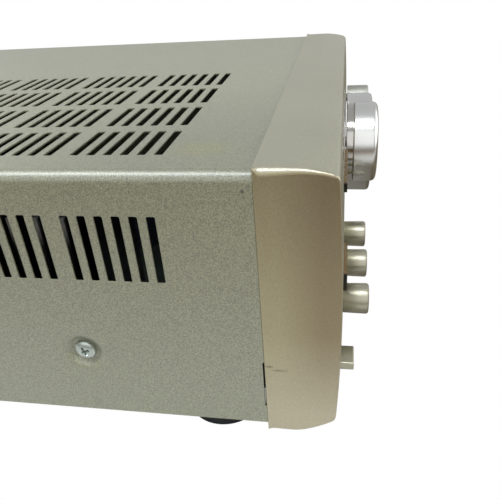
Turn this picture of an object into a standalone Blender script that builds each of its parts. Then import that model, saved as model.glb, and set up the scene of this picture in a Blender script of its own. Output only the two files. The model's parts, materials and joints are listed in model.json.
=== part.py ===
"""Stereo receiver: a midi-size hi-fi component as an assembly of separate pieces.

Millimetres in the constants, metres in the meshes.  +Z is up, the front looks along -Y, the origin is on
the floor under the middle of the object.
"""
import bpy
import bmesh
from math import cos, pi, sin
from mathutils import Matrix, Vector

MM = 0.001
GAP = 0.3                       # clearance between pieces that touch

# Case
WIDTH = 285.0
COVER_TOP = 130.2
FLOOR_CLEARANCE = 11.0          # underside of the chassis above the floor
SHEET = 0.7
BEND = 4.2                      # outside bend radius of the cover
PANEL_REAR = -128.0             # rear plane of the front panel
REAR_PLANE = 162.2              # rear edge of the cover
HALF = WIDTH / 2

# Front panel, measured from its rear plane and from the cover's top
PANEL_DEPTH = 31.5
PANEL_RISE = 1.4
PANEL_DROP = 123.6
PANEL_WALL = 3.2
PANEL_END = 4.0
TOP_FLAT = 13.0                 # flat part of the panel's top before it falls to the front
TOP_FALL = 2.9
BOTTOM_FLAT = 12.0
BOTTOM_LIFT = 8.0
FACE_BOW = 1.7
FRONT = PANEL_REAR - PANEL_DEPTH

# Vent slots
SLOT_PITCH = 6.86
SLOT_WIDTH = 3.5
SLOT_LENGTH = 29.1
SLOTS_IN_GROUP = 6
SLOT_GROUPS = 5
GROUP_SPACE = 4.3
FIRST_SLOT = 38.5               # behind the cover's front edge
TOP_ROWS = 4
TOP_ROW_START = 17.9
TOP_ROW_PITCH = 36.7
SIDE_SLOT_TOP = 113.0

# Feet
FOOT_RADIUS = 18.3
FOOT_X = HALF - 24.0
FOOT_FRONT_Y = PANEL_REAR + 24.5
FOOT_REAR_Y = 128.0

# Controls: place of the axis on the front (x, z), radius, how far it stands out
VOLUME = (69.5, 67.7, 34.0, 17.2)
SELECTOR = (-2.5, 92.6, 22.5, 17.5)
TUNING = (119.5, 87.0, 9.0, 16.5)
SMALL_RADIUS = 7.4
SMALL_LENGTH = 12.8
SMALL_Z = 44.2
SMALL_X = {"bass": -91.0, "treble": -58.2, "balance": -25.4}
SHAFT_RADIUS = 2.9
BUSH_RADIUS = 4.2
POWER_SIZE = (12.4, 4.2)
POWER_AT = (-115.3, 27.6)
POWER_PROUD = 6.8
POWER_TRAVEL = 3.0
KEY_SIZE = (7.9, 4.5)
KEY_Z = 107.05
KEY_FIRST_X = -98.05
KEY_PITCH = 8.5
KEYS = 5
KEY_PROUD = 1.4
JACK_AT = (119.5, 36.0)

# Windows in the front: middle (x, z), size, how far they stand out
DISPLAY = (-66.5, 118.4, 72.0, 12.4, 0.25)
SENSOR = (-87.5, 60.2, 29.0, 11.2, 1.95)
WINDOW_CORNER = 2.5

# Boards
FRONT_BOARD = -145.5            # front side of the front board
BOARD = 1.6
MAIN_BOARD_Z = 20.0
PAN_SHEET = 1.2
PAN_TOP = FLOOR_CLEARANCE + PAN_SHEET

# Rear
REAR_SHEET = 1.2
REAR_IN = 160.4                 # inner side of the rear panel
REAR_OUT = REAR_IN + REAR_SHEET
SPEAKER_X = (44.0, 62.0, 80.0, 98.0)
SPEAKER_Z = 84.0
LINE_COLUMNS = (-52.0, -36.0, -20.0, -4.0)
LINE_ROWS = (66.0, 84.0)
ANTENNA_AT = (-104.0, 84.0)
INLET_AT = (117.0, 40.0)

COLOURS = {
    "cover_paint": ((0.42, 0.40, 0.35), 0.45, 0.35),
    "panel_champagne": ((0.50, 0.44, 0.34), 0.38, 0.45),
    "polished_aluminium": ((0.78, 0.78, 0.77), 0.22, 1.0),
    "satin_champagne": ((0.50, 0.45, 0.36), 0.35, 0.6),
    "smoked_acrylic": ((0.03, 0.025, 0.02), 0.08, 0.0),
    "zinc_steel": ((0.60, 0.60, 0.58), 0.40, 0.9),
    "black_plastic": ((0.02, 0.02, 0.02), 0.55, 0.0),
    "dark_steel": ((0.10, 0.10, 0.11), 0.40, 0.9),
    "copper_coil": ((0.45, 0.20, 0.08), 0.45, 0.3),
    "board_green": ((0.05, 0.16, 0.07), 0.50, 0.0),
    "black_anodised": ((0.03, 0.03, 0.035), 0.45, 0.6),
    "capacitor_sleeve": ((0.03, 0.04, 0.07), 0.35, 0.0),
    "tube_glass": ((0.10, 0.16, 0.15), 0.10, 0.0),
    "ribbon_grey": ((0.45, 0.45, 0.46), 0.55, 0.0),
    "gold_plate": ((0.80, 0.62, 0.25), 0.25, 1.0),
}


def material(name):
    made = bpy.data.materials.get(name)
    if made:
        return made
    colour, rough, metal = COLOURS[name]
    made = bpy.data.materials.new(name)
    made.use_nodes = True
    shader = made.node_tree.nodes["Principled BSDF"]
    shader.inputs["Base Color"].default_value = (*colour, 1.0)
    shader.inputs["Roughness"].default_value = rough
    shader.inputs["Metallic"].default_value = metal
    made.diffuse_color = (*colour, 1.0)
    return made


def place(name, mesh_data, finish, parent=None):
    """Turn a bmesh, drawn in millimetres, into a named object with its material."""
    bmesh.ops.recalc_face_normals(mesh_data, faces=mesh_data.faces)
    bmesh.ops.transform(mesh_data, matrix=Matrix.Scale(MM, 4), verts=mesh_data.verts)
    mesh = bpy.data.meshes.new(name)
    mesh_data.to_mesh(mesh)
    mesh_data.free()
    obj = bpy.data.objects.new(name, mesh)
    bpy.context.collection.objects.link(obj)
    mesh.materials.append(material(finish))
    mesh.shade_smooth()
    mesh.set_sharp_from_angle(angle=0.6)
    if parent:
        obj.parent = parent
        obj.matrix_parent_inverse = parent.matrix_world.inverted()
    return obj


def axis_empty(name, x, y, z):
    """A guide on a moving piece's axis, which carries that piece."""
    guide = bpy.data.objects.new(name, None)
    guide.location = (x * MM, y * MM, z * MM)
    bpy.context.collection.objects.link(guide)
    bpy.context.view_layer.update()
    return guide


def add_box(mesh_data, low, high):
    size = [b - a for a, b in zip(low, high)]
    middle = [(a + b) / 2 for a, b in zip(low, high)]
    where = Matrix.Translation(middle) @ Matrix.Diagonal((*size, 1.0))
    bmesh.ops.create_cube(mesh_data, size=1.0, matrix=where)


def box(low, high):
    mesh_data = bmesh.new()
    add_box(mesh_data, low, high)
    return mesh_data


def add_turned(mesh_data, profile, middle, segments, axis="Y"):
    """Revolve (radius, height) pairs that start and end on the axis.

    Height runs towards the front (-Y) for axis Y and upwards for axis Z.
    """
    rings = []
    for radius, height in profile:
        if radius == 0.0:
            count = 1
        else:
            count = segments
        ring = []
        for i in range(count):
            angle = 2 * pi * i / segments
            across, up = radius * cos(angle), radius * sin(angle)
            if axis == "Y":
                point = Vector((middle[0] + across, middle[1] - height, middle[2] + up))
            else:
                point = Vector((middle[0] + across, middle[1] + up, middle[2] + height))
            ring.append(mesh_data.verts.new(point))
        rings.append(ring)
    for one, two in zip(rings, rings[1:]):
        for i in range(segments):
            j = (i + 1) % segments
            corners = [one[i % len(one)], one[j % len(one)], two[j % len(two)], two[i % len(two)]]
            mesh_data.faces.new(list(dict.fromkeys(corners)))


def turned(profile, middle, segments, axis="Y"):
    mesh_data = bmesh.new()
    add_turned(mesh_data, profile, middle, segments, axis)
    return mesh_data


def add_extruded(mesh_data, outline, low, high, axis):
    """Extrude an outline along X (points are y, z), Y (x, z) or Z (x, y)."""
    def point(a, b, along):
        return {"X": (along, a, b), "Y": (a, along, b), "Z": (a, b, along)}[axis]
    near = [mesh_data.verts.new(point(a, b, low)) for a, b in outline]
    far = [mesh_data.verts.new(point(a, b, high)) for a, b in outline]
    mesh_data.faces.new(near)
    mesh_data.faces.new(far)
    for i in range(len(outline)):
        j = (i + 1) % len(outline)
        mesh_data.faces.new((near[i], near[j], far[j], far[i]))


def extruded(outline, low, high, axis):
    mesh_data = bmesh.new()
    add_extruded(mesh_data, outline, low, high, axis)
    return mesh_data


def arc(middle_a, middle_b, radius_a, radius_b, start, stop, steps):
    points = []
    for i in range(steps + 1):
        angle = start + (stop - start) * i / steps
        points.append((middle_a + radius_a * cos(angle), middle_b + radius_b * sin(angle)))
    return points


def cut(obj, mesh_data, operation="DIFFERENCE"):
    """Cut a hidden shape out of a piece, or join it on."""
    tool = place(obj.name + "_tool", mesh_data, "black_plastic")
    tool.hide_render = True
    tool.display_type = "WIRE"
    step = obj.modifiers.new("cut", "BOOLEAN")
    step.operation = operation
    step.solver = "EXACT"
    step.object = tool


def joined(obj, mesh_data):
    cut(obj, mesh_data, "UNION")


def slot_places():
    """Distance of each vent slot's middle from the first slot."""
    places = []
    for group in range(SLOT_GROUPS):
        for i in range(SLOTS_IN_GROUP):
            step = group * SLOTS_IN_GROUP + i
            places.append(step * SLOT_PITCH + group * GROUP_SPACE)
    return places


def top_cover():
    """Folded sheet with rounded bends and vent slots over the warm half, on its top and left side."""
    front = PANEL_REAR + GAP
    corner = arc(HALF - BEND, COVER_TOP - BEND, BEND, BEND, 0, pi / 2, 4)
    inner = BEND - SHEET
    corner_in = arc(HALF - BEND, COVER_TOP - BEND, inner, inner, pi / 2, 0, 4)
    right = [(HALF - SHEET, FLOOR_CLEARANCE), (HALF, FLOOR_CLEARANCE)] + corner
    left = [(-x, z) for x, z in reversed(right)]
    inside_left = [(-x, z) for x, z in reversed(corner_in)]
    outline = right + left + inside_left + corner_in
    cover = place("top_cover", extruded(outline, front, REAR_PLANE, "Y"), "cover_paint")

    slots = bmesh.new()
    first = PANEL_REAR + FIRST_SLOT
    for along in slot_places():
        y = first + along
        for row in range(TOP_ROWS):
            x = -HALF + TOP_ROW_START + row * TOP_ROW_PITCH
            add_box(slots, (x, y - SLOT_WIDTH / 2, COVER_TOP - 4),
                    (x + SLOT_LENGTH, y + SLOT_WIDTH / 2, COVER_TOP + 4))
        add_box(slots, (-HALF - 4, y - SLOT_WIDTH / 2, SIDE_SLOT_TOP - SLOT_LENGTH),
                (-HALF + 4, y + SLOT_WIDTH / 2, SIDE_SLOT_TOP))
    cut(cover, slots)
    return cover


def chassis_pan():
    """Tray with turned-up sides, board stand-offs and slots under the warm pieces."""
    out, wall = HALF - SHEET - GAP, PAN_SHEET
    flange = FLOOR_CLEARANCE + 20
    outline = [(-out, FLOOR_CLEARANCE), (out, FLOOR_CLEARANCE), (out, flange), (out - wall, flange),
               (out - wall, PAN_TOP), (-out + wall, PAN_TOP), (-out + wall, flange), (-out, flange)]
    pan = place("chassis_pan", extruded(outline, PANEL_REAR + GAP, REAR_IN - GAP, "Y"), "zinc_steel")
    posts = bmesh.new()
    top = MAIN_BOARD_Z - GAP
    for x, y in ((-70, -85), (20, -85), (-70, 145), (125, 145), (125, -30), (20, 40)):
        add_turned(posts, [(0.0, top), (4.0, top), (5.0, PAN_TOP - 0.6), (0.0, PAN_TOP - 0.6)],
                   (x, y, 0.0), 12, "Z")
    joined(pan, posts)
    slots = bmesh.new()
    for i in range(8):
        y = -40 + i * 18
        add_box(slots, (-126, y, FLOOR_CLEARANCE - 2), (-98, y + 4, PAN_TOP + 2))
    cut(pan, slots)


def rear_panel():
    """Flat steel back with openings for the jack blocks, posts and mains inlet."""
    side = HALF - SHEET - GAP
    low, high = PAN_TOP + GAP, COVER_TOP - SHEET - GAP
    sheet = rounded((0.0, (low + high) / 2), 2 * side, high - low, BEND)
    back = place("rear_panel", extruded(sheet, REAR_IN, REAR_OUT, "Y"), "zinc_steel")
    holes = bmesh.new()
    tall = REAR_SHEET + 4
    for x in LINE_COLUMNS:
        for z in LINE_ROWS:
            add_turned(holes, [(0.0, 0.0), (5.2, 0.0), (5.2, -tall), (0.0, -tall)], (x, REAR_IN - 2, z), 12)
    for x in SPEAKER_X:
        add_turned(holes, [(0.0, 0.0), (4.0, 0.0), (4.0, -tall), (0.0, -tall)],
                   (x, REAR_IN - 2, SPEAKER_Z), 12)
    add_turned(holes, [(0.0, 0.0), (6.0, 0.0), (6.0, -tall), (0.0, -tall)],
               (ANTENNA_AT[0], REAR_IN - 2, ANTENNA_AT[1] + 8), 16)
    x, z = INLET_AT
    add_box(holes, (x - 11, REAR_IN - 2, z - 8), (x + 11, REAR_OUT + 2, z + 8))
    cut(back, holes)


def panel_outline():
    """Side view of the front panel, as (y, z) from its top rear corner round the front."""
    top = COVER_TOP + PANEL_RISE
    bottom = COVER_TOP - PANEL_DROP
    fall = PANEL_DEPTH - TOP_FLAT - FACE_BOW
    points = [(PANEL_REAR, top), (PANEL_REAR - TOP_FLAT, top)]
    for i in range(1, 5):
        t = i / 4.25
        points.append((PANEL_REAR - TOP_FLAT - fall * t, top - TOP_FALL * t * t))
    points.append((FRONT + FACE_BOW + 0.3, top - TOP_FALL - 0.4))
    face_top, face_bottom = top - TOP_FALL - 1.6, bottom + BOTTOM_LIFT + 1.2
    for i in range(11):
        t = i / 10
        bow = FACE_BOW * (1 - (2 * t - 1) ** 2)
        points.append((FRONT + FACE_BOW - bow, face_top + (face_bottom - face_top) * t))
    lift = PANEL_DEPTH - BOTTOM_FLAT - 2.2
    for i in range(4, -1, -1):
        t = i / 4
        points.append((PANEL_REAR - BOTTOM_FLAT - lift * t, bottom + BOTTOM_LIFT * t ** 1.5))
    points.append((PANEL_REAR, bottom))
    return points


def face_at(z):
    """Front face of the panel at a height."""
    top = COVER_TOP + PANEL_RISE - TOP_FALL - 1.6
    bottom = COVER_TOP - PANEL_DROP + BOTTOM_LIFT + 1.2
    t = (top - z) / (top - bottom)
    return FRONT + FACE_BOW * (2 * t - 1) ** 2


def knob_places():
    places = {"volume": VOLUME[:2], "selector": SELECTOR[:2], "tuning": TUNING[:2]}
    for name, x in SMALL_X.items():
        places[name] = (x, SMALL_Z)
    return places


def key_places():
    return [KEY_FIRST_X + i * KEY_PITCH for i in range(KEYS)]


def rounded(middle, width, height, radius, steps=3):
    x, z = width / 2 - radius, height / 2 - radius
    points = []
    for turn, (sx, sz) in enumerate(((1, 1), (-1, 1), (-1, -1), (1, -1))):
        start = turn * pi / 2
        points += arc(middle[0] + sx * x, middle[1] + sz * z, radius, radius, start, start + pi / 2, steps)
    return points


def front_panel():
    """Deep crowned shell, open at the back, with ends, windows, holes and four board bosses."""
    panel = place("front_panel", extruded(panel_outline(), -HALF, HALF, "X"), "panel_champagne")
    top, bottom = COVER_TOP + PANEL_RISE - PANEL_WALL, COVER_TOP - PANEL_DROP + PANEL_WALL
    inner_front = FRONT + PANEL_WALL
    hollow = [(PANEL_REAR + 2, top), (PANEL_REAR - TOP_FLAT, top), (inner_front + 2.5, top - TOP_FALL - 1),
              (inner_front + FACE_BOW * 0.6, top - 10), (inner_front, (top + bottom) / 2),
              (inner_front + FACE_BOW * 0.6, bottom + 14), (inner_front + 3, bottom + BOTTOM_LIFT + 1.5),
              (PANEL_REAR - BOTTOM_FLAT, bottom + 0.6), (PANEL_REAR + 2, bottom)]
    cut(panel, extruded(hollow, -HALF + PANEL_END, HALF - PANEL_END, "X"))
    bosses = bmesh.new()
    for x in (-130, -8, 30, 130):
        for z in (22, 118) if abs(x) > 100 else (22,):
            add_turned(bosses, [(0.0, 11.0), (3.2, 11.0), (3.2, 0.3), (0.0, 0.3)],
                       (x, FRONT_BOARD, z), 10)
    joined(panel, bosses)
    holes = bmesh.new()
    deep = PANEL_WALL + 12
    for x, z in knob_places().values():
        add_turned(holes, [(0.0, 4.0), (4.6, 4.0), (4.6, -deep), (0.0, -deep)], (x, FRONT, z), 16)
    add_turned(holes, [(0.0, 4.0), (5.3, 4.0), (5.3, -deep), (0.0, -deep)], (JACK_AT[0], FRONT, JACK_AT[1]), 16)
    add_box(holes, (key_places()[0] - KEY_SIZE[0] / 2 - GAP, FRONT - 4, KEY_Z - KEY_SIZE[1] / 2 - GAP),
            (key_places()[-1] + KEY_SIZE[0] / 2 + GAP, FRONT + deep, KEY_Z + KEY_SIZE[1] / 2 + GAP))
    x, z = POWER_AT
    add_box(holes, (x - POWER_SIZE[0] / 2 - GAP, FRONT - 4, z - POWER_SIZE[1] / 2 - GAP),
            (x + POWER_SIZE[0] / 2 + GAP, FRONT + deep, z + POWER_SIZE[1] / 2 + GAP))
    cut(panel, holes)
    windows = bmesh.new()
    for x, z, width, height, _ in (DISPLAY, SENSOR):
        rim = rounded((x, z), width + 2 * GAP, height + 2 * GAP, WINDOW_CORNER + GAP)
        add_extruded(windows, rim, FRONT - 4, FRONT + deep, "Y")
    cut(panel, windows)


def window(name, at, inner):
    """Flat lens with straight walls and a softened front edge."""
    x, z, width, height, proud = at
    face = face_at(z)
    mesh_data = bmesh.new()
    loops = []
    for taken, out in ((0.0, -inner), (0.0, proud * 0.8), (0.3, proud)):
        rim = rounded((x, z), width - 2 * taken, height - 2 * taken, WINDOW_CORNER - taken)
        loops.append([mesh_data.verts.new((a, face - out, b)) for a, b in rim])
    mesh_data.faces.new(loops[0])
    mesh_data.faces.new(loops[-1])
    for one, two in zip(loops, loops[1:]):
        for i in range(len(one)):
            j = (i + 1) % len(one)
            mesh_data.faces.new((one[i], one[j], two[j], two[i]))
    place(name, mesh_data, "smoked_acrylic")


def windows():
    window("display_window", DISPLAY, 3.0)
    window("sensor_window", SENSOR, 4.0)


def front_subchassis():
    """Steel frame plate that joins the panel to the pan, open behind the controls."""
    side, low, high = HALF - 4.5, PAN_TOP + GAP, COVER_TOP - 3.0
    y = PANEL_REAR + GAP + 2.0
    plate = place("front_subchassis", box((-side, y, low), (side, y + PAN_SHEET, high)), "zinc_steel")
    openings = bmesh.new()
    for a, b in ((-126, -16), (-2, 126)):
        add_box(openings, (a, y - 3, 24), (b, y + 5, 116))
    cut(plate, openings)


def feet():
    """Round moulded feet with a dished side and a flat sole."""
    height = FLOOR_CLEARANCE - GAP
    profile = [(0.0, height), (FOOT_RADIUS - 2.0, height), (FOOT_RADIUS - 1.0, height - 1.0),
               (FOOT_RADIUS - 0.4, 6.0), (FOOT_RADIUS, 0.8), (FOOT_RADIUS - 0.6, 0.0), (0.0, 0.0)]
    for side, x in (("left", -FOOT_X), ("right", FOOT_X)):
        for end, y in (("front", FOOT_FRONT_Y), ("rear", FOOT_REAR_Y)):
            place("foot_%s_%s" % (end, side), turned(profile, (x, y, 0.0), 22, "Z"), "black_plastic")


def knob(name, x, z, profile, finish, segments):
    """A knob on its axis: bored from behind for the shaft."""
    face = face_at(z)
    guide = axis_empty(name + "_axis", x, face, z)
    return place(name + "_knob", turned(profile, (x, face, z), segments), finish, guide), guide


def bored(outside, bore_depth):
    """Close a knob's outside profile with a blind shaft bore that opens at the back."""
    bore = SHAFT_RADIUS + 0.2
    back = outside[-1][1]
    return [(0.0, outside[0][1])] + outside + [(bore, back), (bore, back + bore_depth), (0.0, back + bore_depth)]


def knobs():
    """The six turning knobs, their shafts and the pots or encoders behind the front board."""
    _, _, r, length = VOLUME
    volume = [(r - 9, length - 0.7), (r - 7, length), (r - 2.6, length), (r - 0.8, length - 0.8), (r, length - 2.6),
              (r - 0.2, 3.0), (r + 0.3, 1.7), (r + 1.2, 0.9), (r + 1.2, 0.6)]
    _, _, r, length = SELECTOR
    selector = [(r - 7, length - 0.6), (r - 5.5, length), (r - 3.2, length), (r - 1.0, length - 0.9),
                (r, length - 3.2), (r, 4.6), (r - 0.9, 4.2), (r - 0.9, 0.6)]
    _, _, r, length = TUNING
    tuning = [(r - 1.2, length), (r, length - 1.2), (r, 0.6)]
    r = SMALL_RADIUS
    small = [(r - 1.0, SMALL_LENGTH), (r - 0.2, SMALL_LENGTH - 0.5), (r, SMALL_LENGTH - 1.4), (r - 0.2, 0.6)]
    shapes = {"volume": (volume, "polished_aluminium", 44), "selector": (selector, "polished_aluminium", 36),
              "tuning": (tuning, "satin_champagne", 24)}
    for name in SMALL_X:
        shapes[name] = (small, "satin_champagne", 22)
    for name, (x, z) in knob_places().items():
        outside, finish, segments = shapes[name]
        _, guide = knob(name, x, z, bored(outside, 8.0), finish, segments)
        shaft(name, x, z, face_at(z) - outside[-1][1] - 7.5, guide)
        control(name, x, z)


def shaft(name, x, z, front, guide):
    """Round shaft from inside the knob to inside the control's bush."""
    back = FRONT_BOARD - 1.0
    profile = [(0.0, back - front), (SHAFT_RADIUS - 0.4, back - front), (SHAFT_RADIUS, back - front - 0.5),
               (SHAFT_RADIUS, 0.0), (0.0, 0.0)]
    place(name + "_shaft", turned(profile, (x, back, z), 10), "zinc_steel", guide)


def control(name, x, z):
    """Pot or encoder: a round can behind the front board with a bush for its shaft."""
    large = name in ("volume", "selector")
    can, deep = (12.0, 14.0) if large else (8.0, 9.0)
    behind = FRONT_BOARD + BOARD + GAP
    bore = SHAFT_RADIUS + 0.3
    bush_front = behind - (FRONT + PANEL_WALL + 3.0)
    profile = [(0.0, 0.3), (bore, 0.3), (bore, bush_front), (BUSH_RADIUS, bush_front), (BUSH_RADIUS, 0.0),
               (can, 0.0), (can, -deep + 1.0), (can - 1.0, -deep), (0.0, -deep)]
    kind = "encoder" if name in ("selector", "tuning") else "pot"
    place("%s_%s" % (name, kind), turned(profile, (x, behind, z), 12), "zinc_steel")


def power_control():
    """Slim power button, the rod behind it and the mains switch on the pan."""
    x, z = POWER_AT
    face = face_at(z)
    guide = axis_empty("power_axis", x, face, z)
    rim = rounded((x, z), POWER_SIZE[0], POWER_SIZE[1], 0.8, 2)
    button = place("power_button", extruded(rim, face - POWER_PROUD, face + 9.0, "Y"), "satin_champagne", guide)
    edge = button.modifiers.new("edge", "BEVEL")
    edge.width = 0.35 * MM
    edge.segments = 1
    edge.limit_method = "ANGLE"
    edge.angle_limit = 1.0
    rod_back = -106.0
    place("power_rod", box((x - 1.5, face + 9.0 + GAP, z - 1.5), (x + 1.5, rod_back, z + 1.5)),
          "black_plastic", guide)
    switch = place("power_switch", box((x - 7, rod_back - 10, PAN_TOP + GAP), (x + 7, rod_back + 22, z + 7)),
                   "black_plastic")
    cut(switch, box((x - 2.1, rod_back - 12, z - 2.1), (x + 2.1, rod_back + POWER_TRAVEL + 3, z + 2.1)))


def preset_keys():
    """Row of small push keys in one slot under the display, each held by a lip behind the panel."""
    for i, x in enumerate(key_places(), start=1):
        face = face_at(KEY_Z)
        guide = axis_empty("preset_key_%d_axis" % i, x, face, KEY_Z)
        half_w, half_h = KEY_SIZE[0] / 2, KEY_SIZE[1] / 2
        rim = rounded((x, KEY_Z), KEY_SIZE[0], KEY_SIZE[1], 1.0, 2)
        key = place("preset_key_%d" % i, extruded(rim, face - KEY_PROUD, face + 6.0, "Y"), "smoked_acrylic", guide)
        lip = box((x - half_w + 0.2, face + 4.6, KEY_Z - half_h - 1.2),
                  (x + half_w - 0.2, face + 6.0, KEY_Z + half_h + 1.2))
        joined(key, lip)


def front_board():
    """Circuit board behind the panel with holes for the control bushes."""
    board = place("front_board", box((-134, FRONT_BOARD, 18), (134, FRONT_BOARD + BOARD, 122)), "board_green")
    holes = bmesh.new()
    for x, z in knob_places().values():
        add_turned(holes, [(0.0, 3.0), (BUSH_RADIUS + GAP, 3.0), (BUSH_RADIUS + GAP, -5.0), (0.0, -5.0)],
                   (x, FRONT_BOARD, z), 14)
    x, z = POWER_AT
    add_box(holes, (x - 9, FRONT_BOARD - 3, z - 5), (x + 9, FRONT_BOARD + 5, z + 5))
    x, z = JACK_AT
    add_box(holes, (x - 10, FRONT_BOARD - 3, z - 10), (x + 10, FRONT_BOARD + 5, z + 10))
    cut(board, holes)


def display_tube():
    """Flat glass display tube on the front board behind its window."""
    x, z, width, height, _ = DISPLAY
    low = (x - width / 2 + 3, FRONT_BOARD - 6.5, z - height / 2 + 1.5)
    high = (x + width / 2 - 3, FRONT_BOARD - GAP, z + height / 2 - 1.5)
    place("display_tube", box(low, high), "tube_glass")


def headphone_jack():
    """Phone socket: body behind the panel, bush through it, bore open to the front."""
    x, z = JACK_AT
    face = face_at(z)
    inner = face + PANEL_WALL + 1.5
    jack = place("headphone_jack", box((x - 8, inner, z - 8), (x + 8, inner + 22, z + 8)), "black_plastic")
    bush = turned([(0.0, inner + 1.0 - face + 1.6), (4.6, inner + 1.0 - face + 1.6), (4.9, inner + 1.0 - face + 1.0),
                   (4.9, 0.0), (0.0, 0.0)], (x, inner + 1.0, z), 20)
    joined(jack, bush)
    cut(jack, turned([(0.0, 10.0), (3.2, 10.0), (3.2, -20.0), (0.0, -20.0)], (x, face, z), 16))


def speaker_terminals():
    """Terminal plate with four posts, and the screw caps that turn on them."""
    low_x, high_x = SPEAKER_X[0] - 10, SPEAKER_X[-1] + 10
    plate_y = REAR_OUT + GAP
    plate = place("speaker_terminal_block",
                  box((low_x, plate_y, SPEAKER_Z - 14), (high_x, plate_y + 2.4, SPEAKER_Z + 14)), "black_plastic")
    posts = bmesh.new()
    for x in SPEAKER_X:
        add_turned(posts, [(0.0, 7.0), (3.4, 7.0), (3.4, -12.0), (0.0, -12.0)], (x, plate_y, SPEAKER_Z), 12)
    joined(plate, posts)
    cap_front = plate_y + 2.4 + GAP
    long = max(k[3] - face_at(k[1]) for k in (VOLUME, SELECTOR)) - cap_front
    for i, x in enumerate(SPEAKER_X, start=1):
        guide = axis_empty("speaker_cap_%d_axis" % i, x, cap_front, SPEAKER_Z)
        profile = [(0.0, -long), (4.8, -long), (5.6, -long + 1.0), (5.6, -4.0), (6.4, -3.0), (6.4, 0.0),
                   (3.7, 0.0), (3.7, -10.0), (0.0, -10.0)]
        cap = turned(profile, (x, cap_front, SPEAKER_Z), 14)
        place("speaker_cap_%d" % i, cap, "gold_plate", guide)


def line_jacks():
    """Block of line sockets: barrels through the rear panel from one moulded body."""
    low = (LINE_COLUMNS[0] - 8, REAR_IN - GAP - 12, LINE_ROWS[0] - 8)
    high = (LINE_COLUMNS[-1] + 8, REAR_IN - GAP, LINE_ROWS[1] + 8)
    block = place("line_jack_block", box(low, high), "black_plastic")
    barrels, bores = bmesh.new(), bmesh.new()
    for x in LINE_COLUMNS:
        for z in LINE_ROWS:
            add_turned(barrels, [(0.0, 2.0), (4.2, 2.0), (4.2, -10.5), (0.0, -10.5)], (x, REAR_IN, z), 12)
            add_turned(bores, [(0.0, -2.0), (1.7, -2.0), (1.7, -12.0), (0.0, -12.0)], (x, REAR_IN, z), 8)
    joined(block, barrels)
    cut(block, bores)


def antenna_terminals():
    """Antenna plate with a coaxial socket over two screw posts."""
    x, z = ANTENNA_AT
    plate_y = REAR_OUT + GAP
    block = place("antenna_block", box((x - 18, plate_y, z - 18), (x + 18, plate_y + 2.4, z + 18)), "black_plastic")
    shapes = bmesh.new()
    add_turned(shapes, [(0.0, 12.0), (5.0, 12.0), (5.0, -11.0), (0.0, -11.0)], (x, plate_y, z + 8), 16)
    for side in (-8, 8):
        add_turned(shapes, [(0.0, -1.0), (3.6, -1.0), (3.6, -6.0), (0.0, -6.0)], (x + side, plate_y, z - 9), 12)
    joined(block, shapes)
    cut(block, turned([(0.0, -3.0), (3.3, -3.0), (3.3, -13.0), (0.0, -13.0)], (x, plate_y, z + 8), 14))


def mains_inlet():
    """Two-pin mains inlet with a flange outside the rear panel."""
    x, z = INLET_AT
    plate_y = REAR_OUT + GAP
    inlet = place("mains_inlet", box((x - 15, plate_y, z - 12), (x + 15, plate_y + 2.2, z + 12)), "black_plastic")
    joined(inlet, box((x - 10.5, REAR_IN - 16, z - 7.5), (x + 10.5, plate_y + 1.0, z + 7.5)))
    cut(inlet, extruded(rounded((x, z), 17.0, 9.0, 4.0), REAR_IN - 11, plate_y + 4, "Y"))
    pins = bmesh.new()
    for side in (-4.3, 4.3):
        add_turned(pins, [(0.0, 3.0), (1.2, 3.0), (1.2, -5.0), (0.0, -5.0)], (x + side, REAR_IN - 10, z), 10)
    joined(inlet, pins)


def transformer():
    """Laminated core, the coil round its middle limb and the strap that holds it down."""
    left, right, low, high = 45.0, 115.0, 16.2, 74.0
    front, back = -95.0, -60.0
    core = place("transformer_core", box((left, front, low), (right, back, high)), "dark_steel")
    gaps = bmesh.new()
    for a, b in ((56.5, 69.0), (91.0, 103.5)):
        add_box(gaps, (a, front - 2, 27.5), (b, back + 2, 62.5))
    cut(core, gaps)
    rim = rounded((80.0, -77.5), 45.6, 58.0, 6.0)
    coil = place("transformer_coil", extruded(rim, 28.0, 62.0, "Z"), "copper_coil")
    cut(coil, box((68.7, front - GAP, 20.0), (91.3, back + GAP, 70.0)))
    strap_low = PAN_TOP + GAP
    strap = [(32.0, strap_low), (128.0, strap_low), (128.0, strap_low + 1.5), (right + 2.1, strap_low + 1.5),
             (right + 2.1, 52.0), (right + 0.6, 52.0), (right + 0.6, low - 0.6), (left - 0.6, low - 0.6),
             (left - 0.6, 52.0), (left - 2.1, 52.0), (left - 2.1, strap_low + 1.5), (32.0, strap_low + 1.5)]
    place("transformer_bracket", extruded(strap, front + 3, back - 3, "Y"), "zinc_steel")


def heat_sink():
    """Comb extrusion with tall fins towards the side vents, and the module bolted to its back."""
    back, root, tip = -88.0, -94.0, -128.0
    first, pitch, thick, fins = -58.0, 12.0, 2.2, 15
    last = first + pitch * (fins - 1) + thick
    outline = [(back, last), (back, first)]
    for i in range(fins):
        y = first + i * pitch
        outline += [(tip, y), (tip, y + thick), (root, y + thick)]
        if i < fins - 1:
            outline.append((root, y + pitch))
    outline.pop()
    low = PAN_TOP + GAP
    place("heat_sink", extruded(outline, low, 104.0, "Z"), "black_anodised")
    place("amplifier_module", box((back + GAP, -6, 38), (back + 8, 72, 76)), "black_plastic")


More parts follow.
